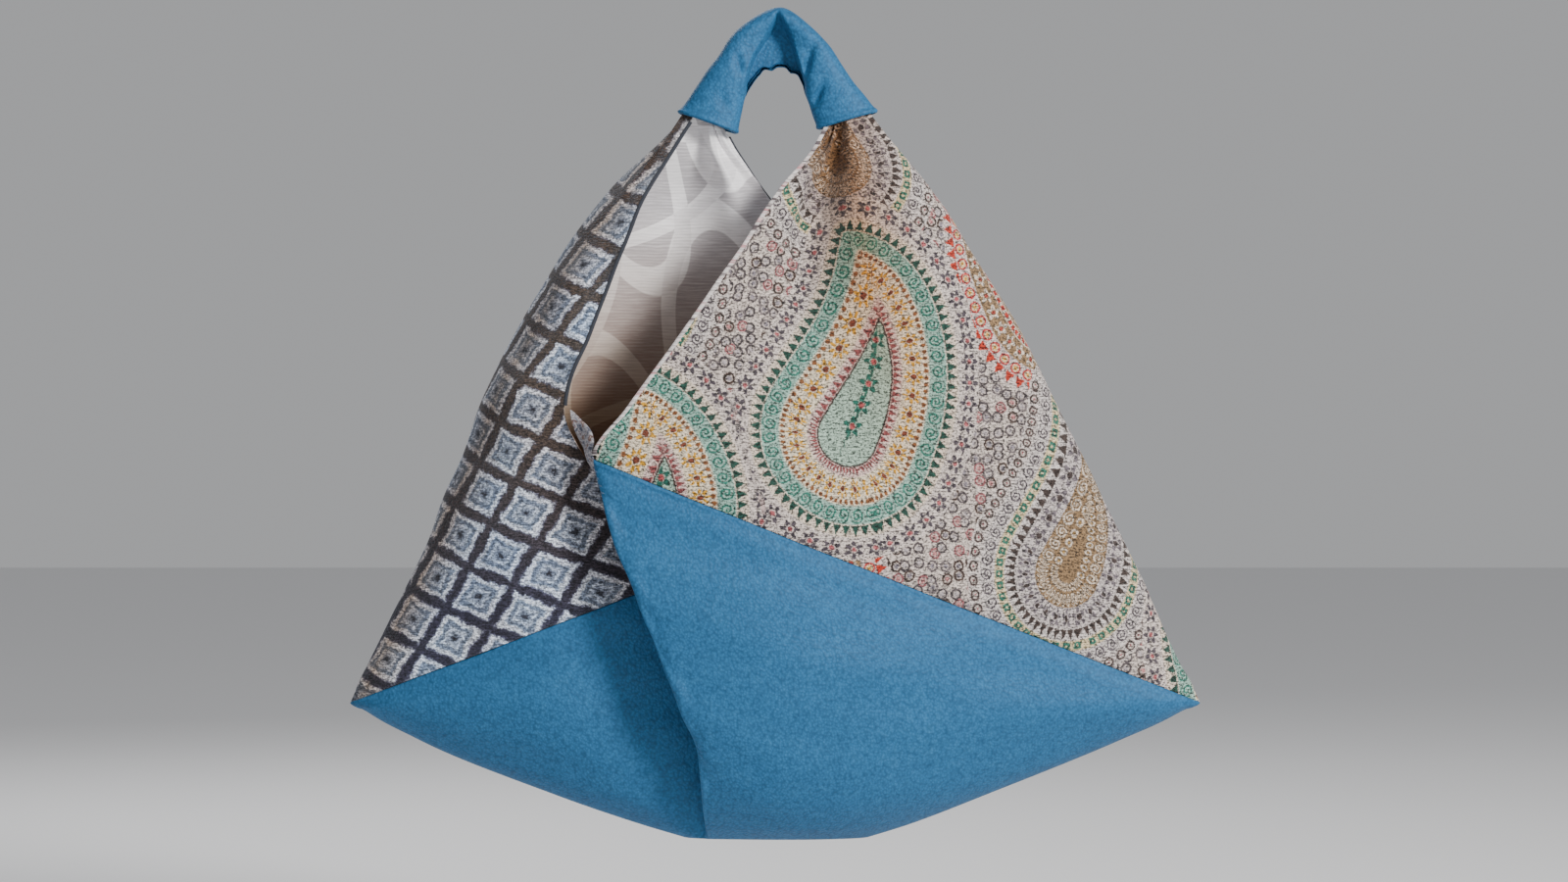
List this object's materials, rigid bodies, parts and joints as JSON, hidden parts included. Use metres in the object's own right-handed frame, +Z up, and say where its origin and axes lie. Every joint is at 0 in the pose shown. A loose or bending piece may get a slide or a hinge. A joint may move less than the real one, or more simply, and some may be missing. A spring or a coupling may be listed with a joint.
{
  "type": "triangle bag",
  "caption": "Soft triangular handbag of crossed square panels, with a leather base, patterned woven peaks, a pale lining and a short leather handle sleeve.",
  "frame": {"origin": "the underside of the handle's crown, where a hook, peg or hand holds the bag, on its vertical middle line", "axes": "+Z up, +X to the viewer's right and -Y towards the viewer when the front is seen; the bag hangs in the XZ plane"},
  "size_m": [0.5639, 0.1738, 0.5505],
  "materials": {
    "blue_leather": "matte, fine soft grain",
    "squares_jacquard": "matte, coarse jacquard weave",
    "paisley_jacquard": "matte, coarse jacquard weave",
    "silver_lining": "soft satin sheen",
    "black_piping": "matte"
  },
  "bodies": {
    "root": {"base_panel": "blue_leather", "right_peak_panel": "paisley_jacquard", "left_peak_panel": "squares_jacquard", "front_corner_tab": "paisley_jacquard", "back_corner_tab": "squares_jacquard", "right_peak_lining": "silver_lining", "left_peak_lining": "silver_lining", "front_piping": "black_piping", "back_piping": "black_piping", "handle_sleeve": "blue_leather"}
  },
  "joints": []
}
